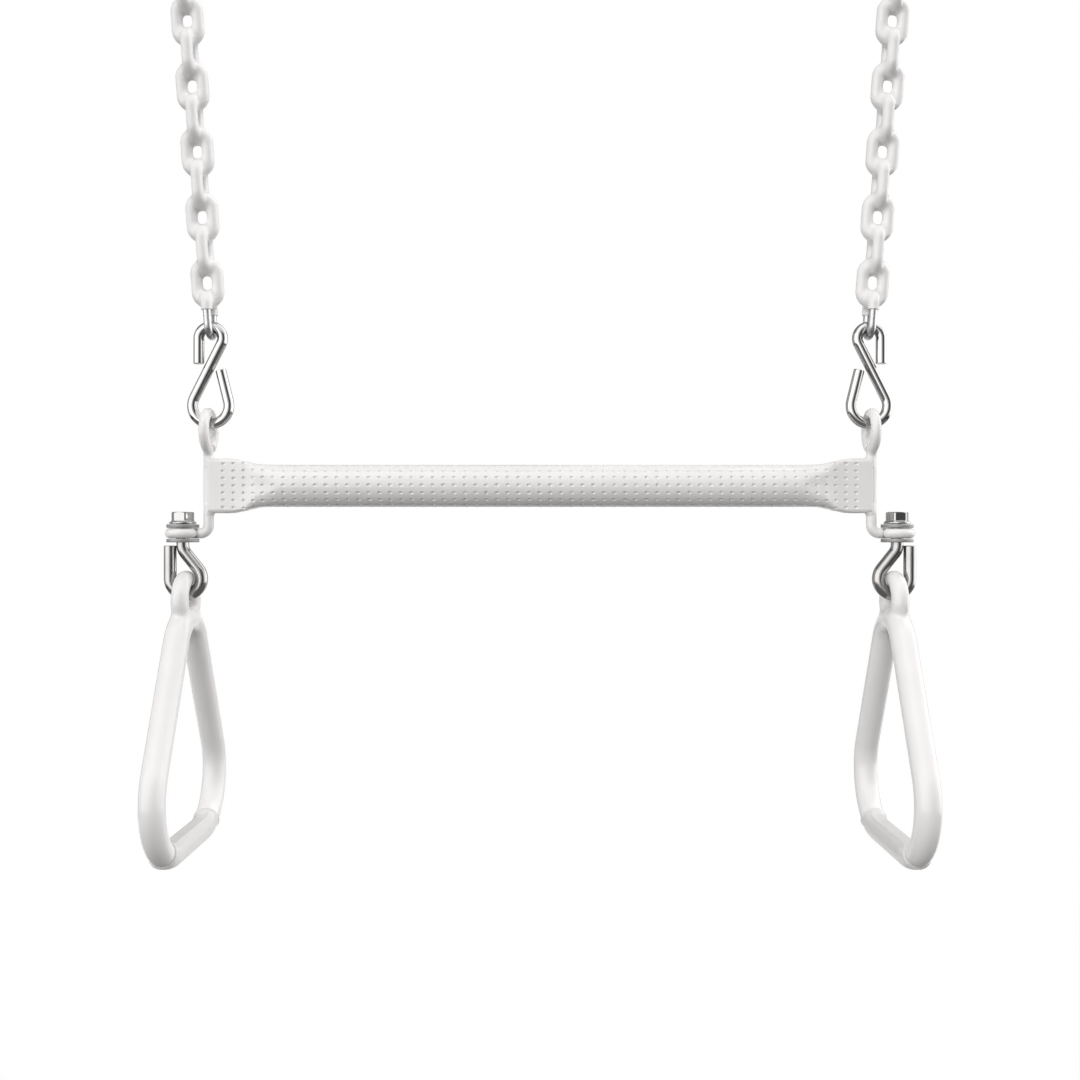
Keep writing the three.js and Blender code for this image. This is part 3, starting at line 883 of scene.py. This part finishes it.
def nut_shape():
    """The nut: a flange that runs up into a hexagon with a chamfered top."""
    across = NUT_FLATS / 2
    bore = HOOK_R + GAP

    def hexagon(grow=0.0):
        def radius(angle):
            turn = np.remainder(angle - NUT_TURN, 60 * DEG) - 30 * DEG
            corner = (across + grow) / math.cos(30 * DEG) - CORNER_CUT
            return np.minimum((across + grow) / np.cos(turn), corner)
        return radius

    def ring(radius):
        return lambda angle: np.minimum(hexagon()(angle), radius)

    def chamfered(reach):
        return lambda angle: NUT_H - np.maximum(reach(angle) - across * TOP_SHARE, 0) * CHAMFER

    corner_ring = ring(across * RING_SHARE)
    profile = [
        (bore, -FLANGE_T), (FLANGE_R - 0.3, -FLANGE_T), (FLANGE_R - 0.08, -FLANGE_T + 0.08),
        (FLANGE_R, -FLANGE_T + 0.3), (FLANGE_R, -0.9), (FLANGE_R - 0.15, -0.65),
        (FLANGE_R - 0.5, -0.5), (hexagon(0.5), -0.15), (hexagon(0.15), 0.1), (hexagon(), 0.45),
        (hexagon(), 2.4), (hexagon(), chamfered(hexagon())),
        (corner_ring, chamfered(corner_ring)),
        (ring(across * TOP_SHARE), NUT_H), (bore + 0.6, NUT_H), (bore, NUT_H - 0.6),
    ]
    rows = turned_rows(profile, NUT_SIDES) + [SWIVEL_X, 0, NUT_Z + FLANGE_T]
    return skin(rows, closed=True)


# ---------------------------------------------------------------- handles

HANDLE_SIDES = 40
EYE_SIDES = 32

# The step from the coated rod down to the bare rod inside the grip
SHOULDER = 0.8
SHOULDER_EDGE = [(0, 1), (0.15, 0.55), (0.55, 0.15), (1, 0)]

# The weld between loop and eye: how far it spreads, and the height above which it is formed
EYE_WELD = 3.2
EYE_WELD_LOW = -30
WELD_ROUNDS = 5


def handle_pegs():
    corner_z = CORNER_R - HANDLE_H
    return [peg(0, APEX_LIFT - APEX_R, APEX_R, 1), peg(-HANDLE_FLAT / 2, corner_z, CORNER_R, 1),
            peg(HANDLE_FLAT / 2, corner_z, CORNER_R, 1)]


def handle_place():
    loop_z = swivel_line()[1]
    crown = loop_z - HOOK_LOOP_R + HOOK_R + GAP + EYE_ROD
    return np.array([SWIVEL_X - HOOK_INSET, 0, crown - 2 * EYE_R - EYE_LIFT])


def in_handle(route):
    return in_space(route, ORIGIN, Y_AXIS, Z_AXIS)


def united(first, second):
    """The boolean union of two closed shapes, as points and faces."""
    objects = []
    for points, faces in (first, second):
        mesh = bpy.data.meshes.new("part")
        mesh.from_pydata(np.asarray(points).tolist(), [], faces)
        holder = bpy.data.objects.new("part", mesh)
        bpy.context.scene.collection.objects.link(holder)
        objects.append(holder)
    modifier = objects[0].modifiers.new("union", "BOOLEAN")
    modifier.operation = "UNION"
    modifier.solver = "EXACT"
    modifier.object = objects[1]
    graph = bpy.context.evaluated_depsgraph_get()
    result = bpy.data.meshes.new_from_object(objects[0].evaluated_get(graph))
    points = np.array([v.co[:] for v in result.vertices])
    faces = [list(p.vertices) for p in result.polygons]
    for holder in objects:
        data = holder.data
        bpy.data.objects.remove(holder)
        bpy.data.meshes.remove(data)
    bpy.data.meshes.remove(result)
    return points, faces


def handle_loop():
    """The loop: coated rod above, bare rod inside the grip. Also the coated rod's line."""
    apex, left, right = handle_pegs()
    wrap = GRIP_WRAP + GAP / CORNER_R
    covered = in_handle(peg_route([left, right], first=-wrap, last=wrap, step=4 * DEG, pitch=4))
    coated = in_handle(peg_route([right, apex, left], first=wrap, last=-wrap, step=3 * DEG,
                                 pitch=1.5))
    thick = tube_rows(coated, X_AXIS, HANDLE_SIDES, HANDLE_R)
    shoulder = []
    for end, way in ((0, 1), (-1, -1)):
        point, inward = coated[0][end], coated[1][end] * way
        for run, cut in SHOULDER_EDGE:
            station = point[None] + inward * run * SHOULDER
            shoulder.append(tube_rows((station, coated[1][end][None]), X_AXIS, HANDLE_SIDES,
                                      HANDLE_R - SHOULDER * cut))
    thin = tube_rows(covered, X_AXIS, HANDLE_SIDES, HANDLE_CORE)
    count = len(SHOULDER_EDGE)
    rows = shoulder[:count] + [thick[2:-2]] + shoulder[:count - 1:-1] + [thin]
    return skin(np.concatenate(rows), closed=True), coated[0]


def handle_eye():
    centre = peg(0, EYE_R + EYE_LIFT, EYE_R, 1)
    halves = [peg_route([centre], first=start, last=start + math.pi, step=4 * DEG)
              for start in (0, math.pi)]
    points, along = joined(*[in_handle(half) for half in halves])
    return skin(tube_rows((points[:-1], along[:-1]), X_AXIS, EYE_SIDES, EYE_ROD), closed=True)


def handle_shape():
    """Loop and eye in one, with a rounded weld where they meet."""
    loop, coated = handle_loop()
    points, faces = united(loop, handle_eye())

    def field(at):
        ring = np.hypot(at[:, 1], at[:, 2] - EYE_R - EYE_LIFT) - EYE_R
        return smooth_min(line_distance(at, coated) - HANDLE_R,
                          np.hypot(ring, at[:, 0]) - EYE_ROD, EYE_WELD)

    top = points[:, 2] > EYE_WELD_LOW
    for _ in range(WELD_ROUNDS):
        at = points[top]
        normal = gradient(field, at)
        points[top] = at - normal * field(at)[:, None]
    return points + handle_place(), faces


# ---------------------------------------------------------------- grips

GRIP_SIDES = 144

# The lip round each end: its height, its place from the end and its width, and the rounding of
# the end's edge
LIP = 0.6
LIP_AT = 1.1
LIP_WIDTH = 1.0
GRIP_INSET = 0.15
GRIP_EDGE = 0.7

# The flat and the two bevels along the inner side, how deep they are cut, and where they start
FLAT_SUNK = 1.1
BEVEL_SUNK = 0.42
BEVEL_LEAN = 33 * DEG
FLAT_START = 3.2
FLAT_EASE = 3.0

# A cut works only on directions that face it by more than this
FACING = 0.2
NO_CUT = 99

# Stations from each end inwards, and the even ones between them
LIP_PLACES = [0, 0.06, 0.2, 0.4, 0.65, 0.9, 1.15, 1.4, 1.7, 2.0, 2.4, 2.8, 3.3, 3.9, 4.6, 5.4,
              6.2]
MIDDLE_START = 7
MIDDLE_STOP = 6.9


def grip_line():
    """The grip's line with its stations, and each one's distance from the nearer end."""
    _, left, right = handle_pegs()
    fine = in_handle(peg_route([left, right], first=-GRIP_WRAP, last=GRIP_WRAP, step=1.2 * DEG,
                               pitch=0.8))
    gaps = np.linalg.norm(np.diff(fine[0], axis=0), axis=1)
    run = np.concatenate([[0], np.cumsum(gaps)])
    ends = np.array(LIP_PLACES)
    middle = np.arange(MIDDLE_START, run[-1] - MIDDLE_STOP, 1.0)
    place = np.concatenate([ends, middle, run[-1] - ends[::-1]])
    line = [np.stack([np.interp(place, run, part[:, axis]) for axis in range(3)], -1)
            for part in fine]
    line[1] /= np.linalg.norm(line[1], axis=1, keepdims=True)
    return line, np.minimum(place, run[-1] - place)


def grip_shape():
    """The sleeve: a lip at each end, and a flat with two bevels along its inner side."""
    line, distances = grip_line()
    angle = 2 * math.pi * np.arange(GRIP_SIDES) / GRIP_SIDES
    out, up = np.cos(angle), -np.sin(angle)
    lean_out, lean_up = math.sin(BEVEL_LEAN), math.cos(BEVEL_LEAN)
    cuts = [(0, 1, FLAT_SUNK), (lean_out, lean_up, BEVEL_SUNK), (-lean_out, lean_up, BEVEL_SUNK)]
    outlines = []
    for distance in distances:
        lip = LIP * math.exp(-((distance - LIP_AT) / LIP_WIDTH) ** 2)
        short = max(GRIP_EDGE - distance, 0)
        rounding = GRIP_EDGE - math.sqrt(max(GRIP_EDGE ** 2 - short ** 2, 0))
        radius = GRIP_R - GRIP_INSET + lip - rounding
        flat_share = eased((distance - FLAT_START) / FLAT_EASE)
        scale = np.full(GRIP_SIDES, radius)
        for normal_out, normal_up, sunk in cuts:
            facing = out * normal_out + up * normal_up
            reach = (radius - flat_share * sunk) / np.maximum(facing, FACING)
            scale = np.minimum(scale, np.where(facing > FACING, reach, NO_CUT))
        outlines.append(np.stack([out * scale, -up * scale], -1))
    outer = line[0][:, None] + rings(line, X_AXIS, np.array(outlines))
    inner = tube_rows(line, X_AXIS, GRIP_SIDES, GRIP_BORE)
    points, faces = skin(np.concatenate([outer, inner[::-1]]), closed=True)
    return points + handle_place(), faces


# ---------------------------------------------------------------- pieces on their bodies

def add_chain(side, mirror):
    shapes = {
        "first": bare_link(),
        "middle": coated_link([PITCH, -PITCH]),
        "last": coated_link([-PITCH]),
    }
    for number in range(1, LINKS + 1):
        key = "first" if number == 1 else "last" if number == LINKS else "middle"
        shape, normals = shapes[key]
        if normals is not None:
            normals = chain_normals(normals, number)
        name = f"{side}_chain_link_{number:02d}"
        body = "top_links" if number == LINKS else f"{side}_link_{number:02d}"
        material = GALVANISED if number == 1 else CHAIN_COAT
        add_piece(f"{name}_wire", in_chain(shape, number), mirror, material, body, [name],
                  normals=normals)
    add_piece(f"{side}_link_dip", in_chain(link_coating(), 1), mirror, CHAIN_COAT,
              f"{side}_link_01", [f"{side}_link_coating"], sharp=50)


add_piece("dimpled_tube", tube_shape(), False, TUBE_PAINT, "bar", ["trapeze_tube"],
          sharp=60)
for side, mirror in (("left", True), ("right", False)):
    add_piece(f"{side}_bracket_rod", bracket_shape(), mirror, BRACKET_PAINT, "bar",
              [f"{side}_bracket"])
    add_piece(f"{side}_s_hook_rod", s_hook_shape(), mirror, BRIGHT_STEEL, f"{side}_hanger",
              [f"{side}_s_hook"])
    add_chain(side, mirror)
    swivel = f"{side}_swivel"
    add_piece(f"{side}_hook_rod", swivel_hook_shape(), mirror, HOOK_STEEL, swivel,
              [f"{side}_swivel_hook"])
    add_piece(f"{side}_nut", nut_shape(), mirror, NUT_STEEL, swivel,
              [f"{side}_swivel_nut"], sharp=25)
    for which, z in (("upper", UPPER_WASHER_Z), ("lower", LOWER_WASHER_Z)):
        add_piece(f"{side}_{which}_ring", washer_shape(z), mirror, WASHER_ZINC, swivel,
                  [f"{side}_{which}_washer"], sharp=50)
    stirrup = f"{side}_stirrup"
    add_piece(f"{side}_handle_loop", handle_shape(), mirror, HANDLE_COAT, stirrup,
              [f"{side}_handle"])
    add_piece(f"{side}_grip_sleeve", grip_shape(), mirror, GRIP_PLASTIC, stirrup,
              [f"{side}_grip"], sharp=60)


# ---------------------------------------------------------------- floor and light

# Floor, in metres. Between the two places metal starts to see it as the white background.
FLOOR_Z = -1.5
FLOOR_HALF = 3.0
FLOOR_GREY = 0.18
FLOOR_GLOW = 0.8
FLOOR_BEHIND = (0.9, 1.5)

# The studio round the object: windows of light, each with its sides and their softness, its
# lower and upper edge and their softness, and its level. Sides are azimuths from the camera's
# side towards +X, and edges are elevations, all in degrees.
STUDIO = {
    "top_left_side": (-95, -55, 16, 30, 78, 4, 0.75),
    "top_left": (-55, -15, 16, 30, 78, 4, 1.9),
    "top_front": (-15, 15, 16, 30, 78, 4, 1.55),
    "top_right": (15, 95, 16, 30, 78, 4, 1.3),
    "top_right_side": (95, 150, 16, 30, 78, 4, 2.1),
    "left_side": (-125, -80, 6, -14, 30, 8, 0.55),
    "left": (-80, -10, 6, -14, 30, 8, 2.15),
    "front": (-10, 12, 6, -14, 30, 8, 0.9),
    "front_right": (12, 56, 6, -14, 30, 8, 0.12),
    "right": (56, 78, 6, -14, 30, 8, 1.4),
    "right_strip": (78, 130, 6, -14, 30, 8, 2.5),
    "right_side": (130, 150, 6, -14, 30, 8, 0.6),
    "back_left": (-180, -115, 8, -20, 78, 10, 0.35),
    "back_right": (150, 180, 8, -20, 78, 10, 0.6),
}

# The backdrop that metal sees, in the same order, with azimuths from the far side
BACKDROP = (-16, 16, 8, -28, 8, 8)


def math_node(tree, operation, *values):
    node = tree.nodes.new("ShaderNodeMath")
    node.operation = operation
    for index, value in enumerate(values):
        if isinstance(value, (int, float)):
            node.inputs[index].default_value = value
        else:
            tree.links.new(value, node.inputs[index])
    return node.outputs[0]


def soft_step(tree, value, start, end, rising=True):
    node = tree.nodes.new("ShaderNodeMapRange")
    node.interpolation_type = "SMOOTHSTEP"
    node.inputs["From Min"].default_value = start
    node.inputs["From Max"].default_value = end
    node.inputs["To Min"].default_value = 0 if rising else 1
    node.inputs["To Max"].default_value = 1 if rising else 0
    tree.links.new(value, node.inputs["Value"])
    return node.outputs[0]


def seen_as_white(tree, backdrop):
    """Camera rays see the white background everywhere, and those that metal sends on see it
    where the backdrop is."""
    path = tree.nodes.new("ShaderNodeLightPath")
    mirrored = math_node(tree, "MAXIMUM", path.outputs["Is Glossy Ray"],
                         path.outputs["Is Transmission Ray"])
    return math_node(tree, "MAXIMUM", path.outputs["Is Camera Ray"],
                     math_node(tree, "MULTIPLY", mirrored, backdrop))


def add_floor():
    """A pale floor far below, which also ends the white background downwards."""
    half = FLOOR_HALF
    mesh = bpy.data.meshes.new("floor")
    corners = [(-half, -half, FLOOR_Z), (half, -half, FLOOR_Z), (half, half, FLOOR_Z),
               (-half, half, FLOOR_Z)]
    mesh.from_pydata(corners, [], [[0, 1, 2, 3]])
    floor = bpy.data.objects.new("floor", mesh)
    bpy.context.scene.collection.objects.link(floor)
    material = bpy.data.materials.new("floor")
    material.use_nodes = True
    tree = material.node_tree
    tree.nodes.clear()
    output = tree.nodes.new("ShaderNodeOutputMaterial")
    diffuse = tree.nodes.new("ShaderNodeBsdfDiffuse")
    diffuse.inputs["Color"].default_value = (FLOOR_GREY, FLOOR_GREY, FLOOR_GREY, 1)
    glow = tree.nodes.new("ShaderNodeEmission")
    place = tree.nodes.new("ShaderNodeTexCoord")
    axes = tree.nodes.new("ShaderNodeSeparateXYZ")
    tree.links.new(place.outputs["Object"], axes.inputs[0])
    seen = seen_as_white(tree, soft_step(tree, axes.outputs["Y"], *FLOOR_BEHIND))
    tree.links.new(math_node(tree, "MULTIPLY", seen, FLOOR_GLOW), glow.inputs["Strength"])
    both = tree.nodes.new("ShaderNodeAddShader")
    tree.links.new(diffuse.outputs[0], both.inputs[0])
    tree.links.new(glow.outputs[0], both.inputs[1])
    tree.links.new(both.outputs[0], output.inputs[0])
    mesh.materials.append(material)


def add_world():
    world = bpy.data.worlds.new("studio")
    bpy.context.scene.world = world
    world.use_nodes = True
    tree = world.node_tree
    tree.nodes.clear()

    def band(value, low, high, soft):
        low, high, soft = low * DEG, high * DEG, soft * DEG
        return math_node(tree, "MULTIPLY", soft_step(tree, value, low - soft / 2, low + soft / 2),
                         soft_step(tree, value, high - soft / 2, high + soft / 2, False))

    def window(round_about, left, right, soft, low, high, fade):
        return math_node(tree, "MULTIPLY", band(round_about, left, right, soft),
                         band(elevation, low, high, fade))

    place = tree.nodes.new("ShaderNodeTexCoord")
    axes = tree.nodes.new("ShaderNodeSeparateXYZ")
    tree.links.new(place.outputs["Generated"], axes.inputs[0])
    x, y, z = axes.outputs
    azimuth = math_node(tree, "ARCTAN2", x, math_node(tree, "MULTIPLY", y, -1))
    from_back = math_node(tree, "ARCTAN2", x, y)
    elevation = math_node(tree, "ARCSINE", z)
    light = 0.0
    for *sides, level in STUDIO.values():
        light = math_node(tree, "MULTIPLY_ADD", window(azimuth, *sides), level, light)

    mix = tree.nodes.new("ShaderNodeMix")
    mix.data_type = "FLOAT"
    tree.links.new(seen_as_white(tree, window(from_back, *BACKDROP)), mix.inputs["Factor"])
    tree.links.new(light, mix.inputs["A"])
    mix.inputs["B"].default_value = 1.0
    background = tree.nodes.new("ShaderNodeBackground")
    tree.links.new(mix.outputs[0], background.inputs["Strength"])
    background.inputs["Color"].default_value = (1, 1, 1, 1)
    output = tree.nodes.new("ShaderNodeOutputWorld")
    tree.links.new(background.outputs[0], output.inputs[0])


add_floor()
add_world()

bpy.context.scene.view_settings.view_transform = "Standard"
